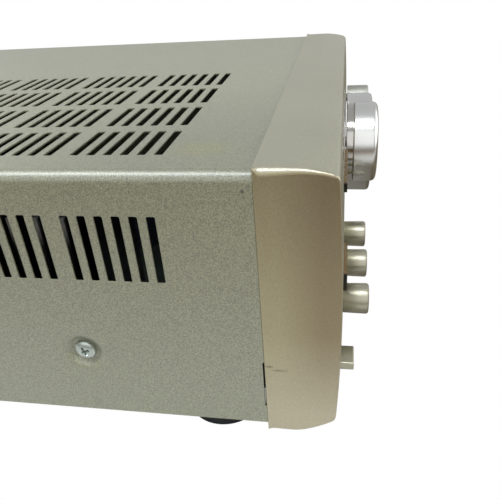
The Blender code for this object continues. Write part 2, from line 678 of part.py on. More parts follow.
def main_board():
    """L-shaped amplifier board on the pan's stand-offs, clear of the transformer."""
    outline = [(-78, -100), (28, -100), (28, -40), (136, -40), (136, 156), (-78, 156)]
    place("main_board", extruded(outline, MAIN_BOARD_Z, MAIN_BOARD_Z + BOARD, "Z"), "board_green")
    top = MAIN_BOARD_Z + BOARD + GAP
    for name, y in (("front", -62.0), ("rear", -22.0)):
        profile = [(0.0, 46.0), (12.5, 46.0), (13.5, 47.0), (15.0, 46.0), (15.0, 2.0), (14.2, 0.0), (0.0, 0.0)]
        place("filter_capacitor_" + name, turned(profile, (4.0, y, top), 18, "Z"), "capacitor_sleeve")
    place("speaker_relay", box((60, 118, top), (80, 146, top + 25)), "black_plastic")
    place("tuner_can", box((-72, 92, top), (-62 + 44, 142, top + 26)), "zinc_steel")


def ribbon_cable():
    """Flat cable from the front board down and back to the main board."""
    thick = 0.9
    y0 = FRONT_BOARD + BOARD + GAP
    route = [(y0, 34.0), (y0 + 8, 34.0), (y0 + 20, 30.0), (y0 + 34, 25.0), (y0 + 48, 22.5), (y0 + 62, 22.2)]
    under = [(y, z) for y, z in route]
    over = [(y, z + thick) for y, z in reversed(route)]
    place("ribbon_cable", extruded(under + over, -50.0, -26.0, "X"), "ribbon_grey")


def build():
    for old in list(bpy.data.objects):
        bpy.data.objects.remove(old, do_unlink=True)
    top_cover()
    chassis_pan()
    rear_panel()
    front_panel()
    windows()
    front_subchassis()
    feet()
    knobs()
    power_control()
    preset_keys()
    front_board()
    display_tube()
    headphone_jack()
    speaker_terminals()
    line_jacks()
    antenna_terminals()
    mains_inlet()
    transformer()
    heat_sink()
    main_board()
    ribbon_cable()


build()
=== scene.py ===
"""Looks of a midi-size stereo receiver: slotted painted cover, deep champagne front, polished knobs."""
import json
from math import cos, hypot, pi, radians, sin

import bmesh
import bpy
from mathutils import Matrix, Quaternion, Vector


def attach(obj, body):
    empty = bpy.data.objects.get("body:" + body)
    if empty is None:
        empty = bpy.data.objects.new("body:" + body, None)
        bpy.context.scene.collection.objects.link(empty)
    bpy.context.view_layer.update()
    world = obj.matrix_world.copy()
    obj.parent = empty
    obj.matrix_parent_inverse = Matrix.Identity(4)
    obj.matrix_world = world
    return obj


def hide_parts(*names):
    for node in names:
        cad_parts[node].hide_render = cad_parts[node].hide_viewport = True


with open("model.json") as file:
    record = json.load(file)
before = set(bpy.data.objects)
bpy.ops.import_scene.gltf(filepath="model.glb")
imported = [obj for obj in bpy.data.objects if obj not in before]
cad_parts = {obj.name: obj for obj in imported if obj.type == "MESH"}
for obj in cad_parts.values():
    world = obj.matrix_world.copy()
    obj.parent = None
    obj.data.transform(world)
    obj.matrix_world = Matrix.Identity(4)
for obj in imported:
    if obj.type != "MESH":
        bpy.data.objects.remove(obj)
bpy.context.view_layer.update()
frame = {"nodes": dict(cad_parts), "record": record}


# Sizes and places in millimetres, with those of the solids read from the frame

MM = 0.001
ORIGIN = (0.0, 0.0, 0.0)
UNTURNED = (0.0, 0.0, 0.0)


def node_box(name):
    """Lowest and highest corner of a solid."""
    points = [vertex.co for vertex in frame["nodes"][name].data.vertices]
    return [[round(end(point[i] for point in points) / MM, 3) for i in range(3)] for end in (min, max)]


def node_middle(name):
    """Middle of a solid across the width and up the height."""
    low, high = node_box(name)
    return tuple(round((low[i] + high[i]) / 2, 2) for i in (0, 2))


def node_front(name):
    """Middle, width and height of a solid seen from the front."""
    low, high = node_box(name)
    return (*node_middle(name), high[0] - low[0], high[2] - low[2])


HALF, COVER_REAR, COVER_TOP = node_box("top_cover")[1]
COVER_FOOT = node_box("top_cover")[0][2]
SHEET, BEND = 0.7, 4.2
COVER_GAP = 0.04
CUT = 4.0                                   # how far a cutter reaches past a face
SLOT_PITCH, SLOT_WIDTH, SLOT_LENGTH, SLOT_CORNER = 6.86, 3.5, 29.1, 0.6
SLOT_GROUPS, SLOTS_IN_GROUP, GROUP_SPACE = 5, 6, 4.3
SLOTS_FROM_PANEL = 38.5
SLOT_ROWS, ROWS_FROM_SIDE, ROW_PITCH = 4, 17.9, 36.7
SIDE_SLOT_TOP = 113.0
SIDE_SCREWS, SIDE_SCREW_Z = (-48.0, 112.0), 46.0
SEAT_RADIUS, SEAT_DEPTH = 10.4, 2.5
NOTCH_LOW, NOTCH_HIGH, NOTCH_LENGTH = 21.0, 46.0, 0.75

_, FRONT, PANEL_FOOT = node_box("front_panel")[0]
_, PANEL_REAR, PANEL_TOP = node_box("front_panel")[1]
PANEL_DEPTH = PANEL_REAR - FRONT
TOP_FLAT, TOP_FALL = 13.0, 2.9
BOTTOM_FLAT, BOTTOM_LIFT = 12.0, 8.0
FACE_BOW, FACE_DROP, FACE_LIFT, FACE_SET_BACK = 1.7, 1.6, 1.2, 2.2
FACE_HIGH = PANEL_TOP - TOP_FALL - FACE_DROP
FACE_LOW = PANEL_FOOT + BOTTOM_LIFT + FACE_LIFT
END_CRISP, END_SMALL, END_FULL, END_LOWER, END_RAMP = 0.25, 0.55, 2.4, 0.4, 2.0
PANEL_WALL = 4.0
HOLLOW = [(PANEL_REAR + 2.0, 128.0), (-143.0, 128.0), (-153.0, 122.0), (-156.0, 100.0), (-156.3, 66.0),
          (-155.2, 32.0), (-152.0, 20.0), (-140.0, 11.0), (PANEL_REAR + 2.0, 10.4)]
HOLE_DEPTH, HOLE_PLAY = 15.0, 0.6
SHAFT_HOLE, JACK_HOLE = 4.6, 5.3
BUTTON_CORNER, KEY_HOLE_CORNER, POWER_HOLE_CORNER = 0.8, 0.9, 1.0

KNOBS = {name: node_middle(name + "_knob")
         for name in ("volume", "selector", "tuning", "bass", "treble", "balance")}
TONE_KNOBS = ("bass", "treble", "balance")
VOLUME, SELECTOR, TUNING, TONE = (34.0, 17.2), (22.5, 17.5), (9.0, 16.5), (7.4, 12.8)     # radius, length
KNOB_TURN = 150                             # degrees to each side of the middle
DASHES, DASH_CIRCLE, DASH_SIZE = 21, 39.0, (0.44, 0.2, 2.2)
DOT_CIRCLE, DOT_RADIUS, DOT_RISE = 9.0, 0.45, 0.08
POINTER_WIDTH, POINTER_PROUD, POINTER_DEEP = 1.0, 0.02, 0.5
POINTER_FROM, POINTER_TO = 0.45, 0.97       # shares of the face's radius
DISPLAY, DISPLAY_PROUD = node_front("display_window"), 0.25
SENSOR, SENSOR_PROUD = node_front("sensor_window"), 1.95
WINDOW_CORNER = 2.5
POWER, POWER_PROUD, POWER_LENGTH = node_front("power_button"), 6.8, 15.8
KEYS = [node_middle("preset_key_%d" % i) for i in range(1, 6)]
KEY_WIDTH, KEY_HEIGHT, KEY_PROUD, KEY_LENGTH = node_front("preset_key_1")[2], 4.5, 1.4, 7.4
JACK = node_middle("headphone_jack")

REAR_OUT = node_box("rear_panel")[1][1]
SOCKET_BASE = REAR_OUT + 0.3
SPEAKERS = [node_middle("speaker_cap_%d" % i) for i in range(1, 5)]
LINE_X, LINE_Z = node_middle("line_jack_block")
SOCKET_PITCH, SOCKET_RISE, SOCKET_RADIUS = 16.0, 18.0, 4.25
ANTENNA_X = node_middle("antenna_block")[0]
SPEAKER_BLOCK_X = node_middle("speaker_terminal_block")[0]
REAR_SCREWS = [(x, z) for z in (122.0, 22.0) for x in (-128.0, 0.0, 128.0)]
REAR_SCREWS += [(LINE_X + side * 2 * SOCKET_PITCH, LINE_Z) for side in (-1, 1)]
REAR_SCREWS += [(SPEAKER_BLOCK_X, 108.0), (ANTENNA_X, 110.0)]
PAN_SCREWS = [(x, y) for x in (-100.0, 0.0, 100.0) for y in (-118.0, 150.0)]
COVER_HEAD, REAR_HEAD, PAN_HEAD = (4.9, 2.5), (3.0, 1.8), (3.0, 1.6)     # radius and height of screw heads


# Materials

def add_node(tree, kind, inputs=None, **settings):
    """Add a node; each input is a value, or the output that feeds it."""
    made = tree.nodes.new(kind)
    for key, value in settings.items():
        setattr(made, key, value)
    for key, value in (inputs or {}).items():
        if isinstance(value, bpy.types.NodeSocket):
            tree.links.new(value, made.inputs[key])
        else:
            made.inputs[key].default_value = value
    return made


def math(tree, operation, a, b):
    return add_node(tree, "ShaderNodeMath", {0: a, 1: b}, operation=operation).outputs[0]


def vector_math(tree, operation, a, b):
    return add_node(tree, "ShaderNodeVectorMath", {0: a, 1: b}, operation=operation).outputs[0]


def noise(tree, where, scale, detail):
    inputs = {"Vector": where, "Scale": scale, "Detail": detail}
    return add_node(tree, "ShaderNodeTexNoise", inputs).outputs[0]


def blend(tree, share, one, two):
    """Colour that goes from one to two as the share goes from 0 to 1."""
    return add_node(tree, "ShaderNodeMix", {0: share, 6: one, 7: two}, data_type="RGBA").outputs[2]


def new_group(name, inputs, outputs):
    group = bpy.data.node_groups.new(name, "ShaderNodeTree")
    for label, kind, value in inputs:
        made = group.interface.new_socket(label, in_out="INPUT", socket_type=kind)
        made.default_value = value
    for label, kind in outputs:
        group.interface.new_socket(label, in_out="OUTPUT", socket_type=kind)
    return group, group.nodes.new("NodeGroupInput").outputs, group.nodes.new("NodeGroupOutput").inputs


def surface_grain():
    """Fine grain and broad blotches that vary a finish's colour, roughness and relief."""
    number, vector = "NodeSocketFloat", "NodeSocketVector"
    group, given, result = new_group("surface_grain", (
        ("Colour", "NodeSocketColor", (0.5, 0.5, 0.5, 1)), ("Grain Scale", number, 1800.0),
        ("Grain Amount", number, 0.1), ("Blotch Scale", number, 25.0), ("Blotch Amount", number, 0.05),
        ("Roughness", number, 0.4), ("Roughness Spread", number, 0.1), ("Stretch", vector, (1, 1, 1)),
        ("Where", vector, (0, 0, 0))),
        (("Colour", "NodeSocketColor"), ("Roughness", number), ("Height", number)))
    pulled = vector_math(group, "MULTIPLY", given["Where"], given["Stretch"])
    grain = noise(group, pulled, given["Grain Scale"], 1.5)
    fine = math(group, "SUBTRACT", grain, 0.5)
    broad = math(group, "SUBTRACT", noise(group, given["Where"], given["Blotch Scale"], 3.0), 0.5)
    uneven = math(group, "ADD", math(group, "MULTIPLY", fine, given["Grain Amount"]),
                  math(group, "MULTIPLY", broad, given["Blotch Amount"]))
    tone = math(group, "ADD", math(group, "MULTIPLY", uneven, 2.0), 1.0)
    shade = add_node(group, "ShaderNodeVectorMath", {0: given["Colour"], "Scale": tone}, operation="SCALE")
    group.links.new(shade.outputs[0], result["Colour"])
    change = math(group, "MULTIPLY", math(group, "ADD", fine, broad), given["Roughness Spread"])
    group.links.new(math(group, "ADD", change, given["Roughness"]), result["Roughness"])
    group.links.new(grain, result["Height"])
    return group


def spot_mark():
    """Mask of a soft mark round a point of the object: 1 in its middle, 0 outside its reach."""
    number, vector = "NodeSocketFloat", "NodeSocketVector"
    group, given, result = new_group("spot_mark", (
        ("Place", vector, (0, 0, 0)), ("Squeeze", vector, (1, 1, 1)), ("Reach", number, 0.01),
        ("Ragged", number, 0.3)), (("Mask", number),))
    where = add_node(group, "ShaderNodeTexCoord").outputs["Object"]
    off = vector_math(group, "SUBTRACT", where, given["Place"])
    off = vector_math(group, "MULTIPLY", off, given["Squeeze"])
    far = add_node(group, "ShaderNodeVectorMath", {0: off}, operation="LENGTH").outputs["Value"]
    uneven = math(group, "SUBTRACT", noise(group, where, 700.0, 2.0), 0.5)
    part = math(group, "ADD", math(group, "DIVIDE", far, given["Reach"]),
                math(group, "MULTIPLY", uneven, given["Ragged"]))
    mask = add_node(group, "ShaderNodeMapRange", {"Value": part, "From Min": 1.0, "From Max": 0.3})
    group.links.new(mask.outputs[0], result["Mask"])
    return group


GRAIN = surface_grain()
SPOT = spot_mark()
FINISHES = {}


def finish(name, colour, rough, grain, blotch, spread, relief, metal=0.0, stretch=(1, 1, 1), coat=0.0,
           coat_rough=0.12, coat_ior=1.5, specular=0.5, turned_on=None):
    """Finish with a grain.

    grain and blotch are (scale, amount), relief is the bump's height in millimetres, and turned_on names
    the attribute that a lathe grain follows.
    """
    made = bpy.data.materials.new(name)
    made.use_nodes = True
    made.diffuse_color = (*colour, 1.0)
    tree = made.node_tree
    shader = tree.nodes["Principled BSDF"]
    for key, value in (("Metallic", metal), ("Coat Weight", coat), ("Coat Roughness", coat_rough),
                       ("Coat IOR", coat_ior), ("Specular IOR Level", specular)):
        shader.inputs[key].default_value = value
    if turned_on:
        where = add_node(tree, "ShaderNodeAttribute", attribute_name=turned_on).outputs["Vector"]
    else:
        where = add_node(tree, "ShaderNodeTexCoord").outputs["Object"]
    group = add_node(tree, "ShaderNodeGroup", {
        "Where": where, "Colour": (*colour, 1.0), "Grain Scale": grain[0], "Grain Amount": grain[1],
        "Blotch Scale": blotch[0], "Blotch Amount": blotch[1], "Roughness": rough,
        "Roughness Spread": spread, "Stretch": stretch}, node_tree=GRAIN, name="grain")
    tree.links.new(group.outputs["Colour"], shader.inputs["Base Color"])
    tree.links.new(group.outputs["Roughness"], shader.inputs["Roughness"])
    bump = add_node(tree, "ShaderNodeBump", {"Height": group.outputs["Height"], "Distance": relief * MM,
                                             "Strength": 0.6})
    tree.links.new(bump.outputs[0], shader.inputs["Normal"])
    FINISHES[name] = made
    return made


def add_mark(made, place, reach, colour, strength, squeeze=(1, 1, 1), ragged=0.3):
    """Lay a soft mark under a finish's grain; a squeeze of 0 runs it along that axis without an end."""
    tree = made.node_tree
    base = tree.nodes["grain"].inputs["Colour"]
    mark = add_node(tree, "ShaderNodeGroup", {
        "Place": [v * MM for v in place], "Squeeze": squeeze, "Reach": reach * MM, "Ragged": ragged},
        node_tree=SPOT)
    share = math(tree, "MULTIPLY", mark.outputs["Mask"], strength)
    under = base.links[0].from_socket if base.is_linked else tuple(base.default_value)
    tree.links.new(blend(tree, share, under, (*colour, 1.0)), base)


def cover_finish():
    """Grained paint with painted shade deepening to the near front corner, a stain on the top, a speck on
    the side.
    """
    paint = finish("cover_paint", (0.214, 0.219, 0.132), rough=0.45, metal=0.15, grain=(1700.0, 1.2),
                   blotch=(14.0, 0.06), spread=0.2, relief=0.08, coat=1.0, coat_rough=0.42, coat_ior=2.0)
    # Painted shade: the top darkens towards its near front corner
    add_mark(paint, (-HALF, PANEL_REAR, COVER_TOP), reach=130.0, colour=(0.135, 0.139, 0.083), strength=0.8,
             squeeze=(1.0, 0.8, 30.0), ragged=0.0)
    add_mark(paint, (-118.0, -105.0, COVER_TOP), reach=11.0, colour=(0.175, 0.168, 0.055), strength=0.6,
             squeeze=(1.0, 0.7, 1.0), ragged=0.8)
    add_mark(paint, (-HALF, -124.3, 123.2), reach=1.0, colour=(0.005, 0.005, 0.004), strength=0.95)


def panel_finish():
    """Champagne metal; warm painted shade on the ends, paling with painted light to rear and foot; the left
    one scratched.
    """
    panel = finish("panel_champagne", (0.465, 0.455, 0.352), rough=0.38, metal=0.8, grain=(1700.0, 0.2),
                   blotch=(18.0, 0.06), spread=0.12, relief=0.01)
    for side in (-HALF, HALF):
        # Painted shade: a tan band over each end's rounded top edge, beside the lamp's highlight
        add_mark(panel, (side, 0, COVER_TOP), reach=3.4, colour=(0.40, 0.35, 0.25), strength=0.4,
                 squeeze=(1.0, 0.0, 0.25), ragged=0.0)
        # Painted shade: each end's flat face, warm and dark as a face turned from the lamps
        add_mark(panel, (side, 0, 0), reach=0.45, colour=(0.298, 0.240, 0.140), strength=0.9,
                 squeeze=(1.0, 0.0, 0.0), ragged=0.0)
        # Painted light: the end pales towards the rear
        add_mark(panel, (side, PANEL_REAR, 0), reach=24.0, colour=(0.455, 0.415, 0.265), strength=0.75,
                 squeeze=(60.0, 1.0, 0.0), ragged=0.0)
        # Painted light: the end pales towards the foot, as if lit by the floor below
        add_mark(panel, (side, 0, 0), reach=62.0, colour=(0.52, 0.475, 0.355), strength=0.85,
                 squeeze=(60.0, 0.0, 1.0), ragged=0.0)
    add_mark(panel, (-HALF, -129.8, 44.0), reach=0.9, colour=(0.08, 0.065, 0.045), strength=0.6,
             squeeze=(1.0, 0.35, 1.2), ragged=0.9)
    add_mark(panel, (-HALF, -134.0, 42.2), reach=0.8, colour=(0.12, 0.10, 0.065), strength=0.45,
             squeeze=(1.0, 0.2, 1.0), ragged=1.4)


def control_finishes():
    """Knobs, buttons, windows and printed marks."""
    finish("polished_aluminium", (0.72, 0.722, 0.70), rough=0.26, metal=1.0, grain=(1500.0, 0.03),
           blotch=(30.0, 0.03), spread=0.03, relief=0.0015, turned_on="lathe")
    finish("bright_ring", (0.52, 0.50, 0.47), rough=0.13, metal=1.0, grain=(1500.0, 0.03),
           blotch=(30.0, 0.03), spread=0.03, relief=0.001, turned_on="lathe")
    finish("satin_aluminium", (0.40, 0.40, 0.36), rough=0.5, metal=0.8, grain=(1600.0, 0.08),
           blotch=(40.0, 0.04), spread=0.08, relief=0.006)
    finish("satin_champagne", (0.44, 0.42, 0.325), rough=0.36, metal=0.92, grain=(1600.0, 0.08),
           blotch=(40.0, 0.04), spread=0.08, relief=0.006)
    finish("smoked_acrylic", (0.075, 0.055, 0.026), rough=0.09, grain=(500.0, 0.05),
           blotch=(20.0, 0.1), spread=0.05, relief=0.002, coat=0.6)
    bronze = finish("bronze_acrylic", (0.15, 0.10, 0.04), rough=0.3, grain=(500.0, 0.1),
                    blotch=(20.0, 0.1), spread=0.05, relief=0.002, specular=0.2)
    # Painted shade: the row of keys ends dark on the left, a painted reflection of the dark floor in its
    # end wall
    add_mark(bronze, (KEYS[0][0] - KEY_WIDTH / 2, 0, 0), reach=0.7, colour=(0.008, 0.007, 0.004),
             strength=0.97, squeeze=(1.0, 0.0, 0.0), ragged=0.0)
    finish("rim_silver", (0.62, 0.60, 0.55), rough=0.28, metal=0.9, grain=(1800.0, 0.05),
           blotch=(50.0, 0.04), spread=0.1, relief=0.006)
    finish("printed_ink", (0.035, 0.033, 0.03), rough=0.6, grain=(1500.0, 0.1),
           blotch=(60.0, 0.1), spread=0.1, relief=0.004)


def case_finishes():
    """Bare sheet, screws, feet and the coloured parts of the rear."""
    finish("zinc_steel", (0.52, 0.52, 0.50), rough=0.36, metal=1.0, grain=(500.0, 0.07),
           blotch=(60.0, 0.10), spread=0.16, relief=0.012)
    finish("screw_zinc", (0.50, 0.55, 0.51), rough=0.28, metal=1.0, grain=(900.0, 0.08),
           blotch=(200.0, 0.12), spread=0.14, relief=0.01)
    finish("black_plastic", (0.018, 0.018, 0.018), rough=0.5, grain=(1600.0, 0.15),
           blotch=(40.0, 0.12), spread=0.14, relief=0.03)
    finish("foot_rubber", (0.008, 0.011, 0.012), rough=0.6, grain=(1300.0, 0.2),
           blotch=(60.0, 0.2), spread=0.16, relief=0.05)
    finish("gold_plate", (0.78, 0.58, 0.22), rough=0.22, metal=1.0, grain=(900.0, 0.05),
           blotch=(80.0, 0.06), spread=0.1, relief=0.01)
    finish("red_plastic", (0.42, 0.012, 0.010), rough=0.4, grain=(1200.0, 0.08),
           blotch=(60.0, 0.08), spread=0.1, relief=0.02)
    finish("white_plastic", (0.70, 0.69, 0.65), rough=0.42, grain=(1200.0, 0.05),
           blotch=(60.0, 0.06), spread=0.1, relief=0.02)


def inside_finishes():
    """Transformer, heat sink, boards and the parts on them."""
    finish("dark_steel", (0.09, 0.088, 0.09), rough=0.42, metal=0.8, grain=(300.0, 0.14),
           blotch=(40.0, 0.12), spread=0.2, relief=0.06, stretch=(0.02, 8, 0.02))
    finish("copper_coil", (0.42, 0.17, 0.06), rough=0.42, metal=0.2, grain=(400.0, 0.12),
           blotch=(60.0, 0.10), spread=0.15, relief=0.15, stretch=(0.05, 0.05, 4))
    # Painted shade: the board is darkened nearly to black, for the shade inside the case
    finish("board_green", (0.006, 0.011, 0.007), rough=0.5, grain=(350.0, 0.12),
           blotch=(90.0, 0.22), spread=0.16, relief=0.03)
    sink = finish("black_anodised", (0.03, 0.03, 0.034), rough=0.42, metal=0.8, grain=(700.0, 0.12),
                  blotch=(30.0, 0.1), spread=0.14, relief=0.03, stretch=(6, 6, 0.1))
    # Painted highlight: the fins' upper front edges are lighter, for the light that reaches them through
    # the top slots
    add_mark(sink, (-128.0, 0, 104.0), reach=2.0, colour=(0.40, 0.40, 0.41), strength=0.7,
             squeeze=(1.0, 0.0, 0.15))
    # Painted shade: the sleeves are darkened, for the shade inside the case
    finish("capacitor_sleeve", (0.014, 0.017, 0.028), rough=0.3, grain=(500.0, 0.1),
           blotch=(40.0, 0.1), spread=0.1, relief=0.02, coat=0.4)
    finish("tube_glass", (0.05, 0.075, 0.07), rough=0.08, grain=(400.0, 0.06),
           blotch=(50.0, 0.12), spread=0.05, relief=0.004, coat=0.5)
    finish("ribbon_grey", (0.42, 0.42, 0.43), rough=0.5, grain=(800.0, 0.1),
           blotch=(40.0, 0.06), spread=0.1, relief=0.25, stretch=(1.0, 0.01, 0.01))


def cad_looks():
    """Give each solid the finish of its slot."""
    for entry in frame["record"]["subparts"]:
        node = frame["nodes"][entry["node"]]
        node.data.materials.clear()
        node.data.materials.append(FINISHES[entry["material_slot"]])


# Shapes

def plain_mesh(name, shape):
    """Mesh in metres of a bmesh drawn in millimetres; a mesh that is ready passes through."""
    if isinstance(shape, bpy.types.Mesh):
        return shape
    bmesh.ops.recalc_face_normals(shape, faces=shape.faces)
    bmesh.ops.transform(shape, matrix=Matrix.Scale(MM, 4), verts=shape.verts)
    mesh = bpy.data.meshes.new(name)
    shape.to_mesh(mesh)
    shape.free()
    return mesh


def piece(name, shape, look, body="case", slot=None, stands_for=(), smooth=0.5):
    """Turn a shape into a piece that rides on a body; edges up to the smooth angle are shaded soft."""
    mesh = plain_mesh(name, shape)
    mesh.materials.clear()
    mesh.materials.append(FINISHES[look])
    mesh.shade_smooth()
    mesh.set_sharp_from_angle(angle=smooth)
    made = bpy.data.objects.new(name, mesh)
    bpy.context.collection.objects.link(made)
    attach(made, body)
    if stands_for:
        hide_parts(*stands_for)
    slot or look
    return made


def flat_sides(made):
    """Shade the faces that lie square to an axis flat."""
    for face in made.data.polygons:
        face.use_smooth = max(abs(v) for v in face.normal) < 0.9995


def add_box(shape, low, high):
    size = [b - a for a, b in zip(low, high)]
    middle = [(a + b) / 2 for a, b in zip(low, high)]
    place = Matrix.Translation(middle) @ Matrix.Diagonal((*size, 1.0))
    bmesh.ops.create_cube(shape, size=1.0, matrix=place)


def soft_box(low, high, radius, steps):
    """Box with rounded edges."""
    shape = bmesh.new()
    add_box(shape, low, high)
    bmesh.ops.bevel(shape, geom=shape.edges[:], offset=radius, segments=steps, profile=0.5, affect="EDGES")
    return shape


def bridge(shape, rings):
    """Join rings that have equal numbers of points, each to the next, with bands of faces."""
    for one, two in zip(rings, rings[1:]):
        for i in range(len(one)):
            j = (i + 1) % len(one)
            shape.faces.new((one[i], one[j], two[j], two[i]))


def close_rings(shape, rings):
    """Join rings and close the first and the last."""
    shape.faces.new(rings[0])
    shape.faces.new(rings[-1])
    bridge(shape, rings)


def add_turned(shape, profile, middle, segments, axis="Y"):
    """Revolve (radius, height) pairs; height runs to the front (-Y) or upwards (Z)."""
    lathe = shape.verts.layers.float_vector.get("lathe") or shape.verts.layers.float_vector.new("lathe")
    rings = []
    for radius, height in profile:
        if rings and (radius, height) == profile[0]:
            rings.append(rings[0])
            continue
        ring = []
        for i in range(segments if radius else 1):
            angle = 2 * pi * i / segments
            a, b = radius * cos(angle), radius * sin(angle)
            point = {"Y": (a, -height, b), "Z": (a, b, height)}[axis]
            ring.append(shape.verts.new(Vector(middle) + Vector(point)))
            ring[-1][lathe] = (radius * MM, height * MM, 0.0)
        rings.append(ring)
    for one, two in zip(rings, rings[1:]):
        for i in range(segments):
            j = (i + 1) % segments
            corners = [one[i % len(one)], one[j % len(one)], two[j % len(two)], two[i % len(two)]]
            shape.faces.new(list(dict.fromkeys(corners)))


def turned(profile, middle, segments, axis="Y"):
    shape = bmesh.new()
    add_turned(shape, profile, middle, segments, axis)
    return shape


def plug(radius, low, high):
    """Profile of a plain cylinder."""
    return [(0.0, high), (radius, high), (radius, low), (0.0, low)]


def outline_point(a, b, along, axis):
    """Point (a, b) of an outline, at a distance along the axis that the outline faces."""
    return {"X": (along, a, b), "Y": (a, along, b)}[axis]


def add_extruded(shape, outline, low, high, axis):
    rings = []
    for along in (low, high):
        rings.append([shape.verts.new(outline_point(a, b, along, axis)) for a, b in outline])
    close_rings(shape, rings)


def arc(a, b, radius, start, stop, steps):
    turns = [start + (stop - start) * i / steps for i in range(steps + 1)]
    return [(a + radius * cos(t), b + radius * sin(t)) for t in turns]


def rounded(middle, width, height, radius, steps=6):
    """Outline of a rectangle with round corners."""
    x, z = width / 2 - radius, height / 2 - radius
    points = []
    for turn, (sx, sz) in enumerate(((1, 1), (-1, 1), (-1, -1), (1, -1))):
        start = turn * pi / 2
        points += arc(middle[0] + sx * x, middle[1] + sz * z, radius, start, start + pi / 2, steps)
    return points


def softened(points, step, passes, sharp_from):
    """Even out an outline's spacing and round its corners, except those behind `sharp_from`."""
    even = []
    for one, two in zip(points, points[1:] + points[:1]):
        parts = max(1, round(hypot(two[0] - one[0], two[1] - one[1]) / step))
        for k in range(parts):
            even.append([one[i] + (two[i] - one[i]) * k / parts for i in (0, 1)])
    for _ in range(passes):
        moved = []
        for i, here in enumerate(even):
            before, after = even[i - 1], even[(i + 1) % len(even)]
            if here[0] > sharp_from:
                moved.append(here)
            else:
                moved.append([(before[k] + 2 * here[k] + after[k]) / 4 for k in (0, 1)])
        even = moved
    return [tuple(p) for p in even]


def inset(points, distance):
    """Move an outline inwards by a distance, or by a distance for each point."""
    reach = distance if isinstance(distance, list) else [distance] * len(points)
    area = sum(a[0] * b[1] - b[0] * a[1] for a, b in zip(points, points[1:] + points[:1]))
    side = 1.0 if area > 0 else -1.0
    moved = []
    for i in range(len(points)):
        a, b, c = Vector(points[i - 1]), Vector(points[i]), Vector(points[(i + 1) % len(points)])
        one, two = (b - a).normalized(), (c - b).normalized()
        mean = (one + two).normalized()
        inwards = Vector((-mean.y, mean.x)) * side
        moved.append(tuple(b + inwards * reach[i] / max(0.5, mean.dot(one))))
    return moved


def add_soft_extruded(shape, outline, low, high, axis, radius, steps=4):
    """Extrude an outline with its two end edges rounded by one radius, or by a radius for each point."""
    radii = radius if isinstance(radius, list) else [radius] * len(outline)
    rings = []
    for k in range(2 * steps + 2):
        first = k <= steps
        angle = pi / 2 * (steps - k if first else k - steps - 1) / steps
        flat = inset(outline, [r * (1 - cos(angle)) for r in radii])
        sunk = [r * (1 - sin(angle)) for r in radii]
        rings.append([shape.verts.new(outline_point(a, b, low + s if first else high - s, axis))
                      for (a, b), s in zip(flat, sunk)])
    close_rings(shape, rings)


def baked(shape, cuts=(), bevel=0.0):
    """Apply boolean cuts and an edge bevel, and give back a plain mesh in metres."""
    work = []

    def temporary(drawn):
        made = bpy.data.objects.new("work", plain_mesh("work", drawn))
        bpy.context.collection.objects.link(made)
        work.append(made)
        return made
    main = temporary(shape)
    for drawn in cuts:
        step = main.modifiers.new("cut", "BOOLEAN")
        step.solver = "EXACT"
        step.operation = "DIFFERENCE"
        step.object = temporary(drawn)
    if bevel:
        step = main.modifiers.new("edge", "BEVEL")
        step.width = bevel * MM
        step.segments = 2
        step.limit_method = "ANGLE"
        step.angle_limit = 0.9
    bpy.context.view_layer.update()
    graph = bpy.context.evaluated_depsgraph_get()
    mesh = bpy.data.meshes.new_from_object(main.evaluated_get(graph))
    for made in work:
        bpy.data.objects.remove(made, do_unlink=True)
    return mesh


# Repeats

def spread(name, points, look, model, inputs):
    """Set copies on (place, turn) points with a node tree and keep the plain mesh.

    model(tree, given) adds the nodes of one copy, whose sizes are the tree's named inputs.
    """
    tree = bpy.data.node_groups.new(name, "GeometryNodeTree")
    tree.interface.new_socket("Geometry", in_out="OUTPUT", socket_type="NodeSocketGeometry")
    tree.interface.new_socket("Points", in_out="INPUT", socket_type="NodeSocketGeometry")
    values = {}
    for label, kind, value in (*inputs, ("Look", "NodeSocketMaterial", FINISHES[look])):
        values[tree.interface.new_socket(label, in_out="INPUT", socket_type=kind).identifier] = value
    given, result = tree.nodes.new("NodeGroupInput").outputs, tree.nodes.new("NodeGroupOutput").inputs
    turn = add_node(tree, "GeometryNodeInputNamedAttribute", {"Name": "turn"}, data_type="FLOAT_VECTOR")
    copies = add_node(tree, "GeometryNodeInstanceOnPoints", {
        "Points": given["Points"], "Instance": model(tree, given), "Rotation": turn.outputs["Attribute"]})
    solid = add_node(tree, "GeometryNodeRealizeInstances", {"Geometry": copies.outputs[0]})
    dressed = add_node(tree, "GeometryNodeSetMaterial", {"Geometry": solid.outputs[0],
                                                         "Material": given["Look"]})
    tree.links.new(dressed.outputs[0], result[0])
    seeds = bpy.data.meshes.new(name + "_seeds")
    seeds.from_pydata([[v * MM for v in place] for place, _ in points], [], [])
    turns = seeds.attributes.new("turn", "FLOAT_VECTOR", "POINT")
    for i, (_, angles) in enumerate(points):
        turns.data[i].vector = angles
    carrier = bpy.data.objects.new(name + "_carrier", seeds)
    step = carrier.modifiers.new("copies", "NODES")
    step.node_group = tree
    for identifier, value in values.items():
        step[identifier] = value
    bpy.context.collection.objects.link(carrier)
    bpy.context.view_layer.update()
    graph = bpy.context.evaluated_depsgraph_get()
    mesh = bpy.data.meshes.new_from_object(carrier.evaluated_get(graph))
    bpy.data.objects.remove(carrier, do_unlink=True)
    return mesh


def spread_copies(name, points, look, shape):
    """Set copies of a drawn shape on points."""
    drawn = bpy.data.objects.new("model", plain_mesh("model", shape))
    bpy.context.collection.objects.link(drawn)

    def model(tree, given):
        return add_node(tree, "GeometryNodeObjectInfo", {"Object": given["Model"]}).outputs["Geometry"]
    mesh = spread(name, points, look, model, [("Model", "NodeSocketObject", drawn)])
    bpy.data.objects.remove(drawn, do_unlink=True)
    return mesh


def aim(direction, spin=0.0):
    """Turn that points a model's +Z along a direction, spun about it."""
    return (Vector(direction).to_track_quat("Z", "Y") @ Quaternion((0, 0, 1), spin)).to_euler()


# Case

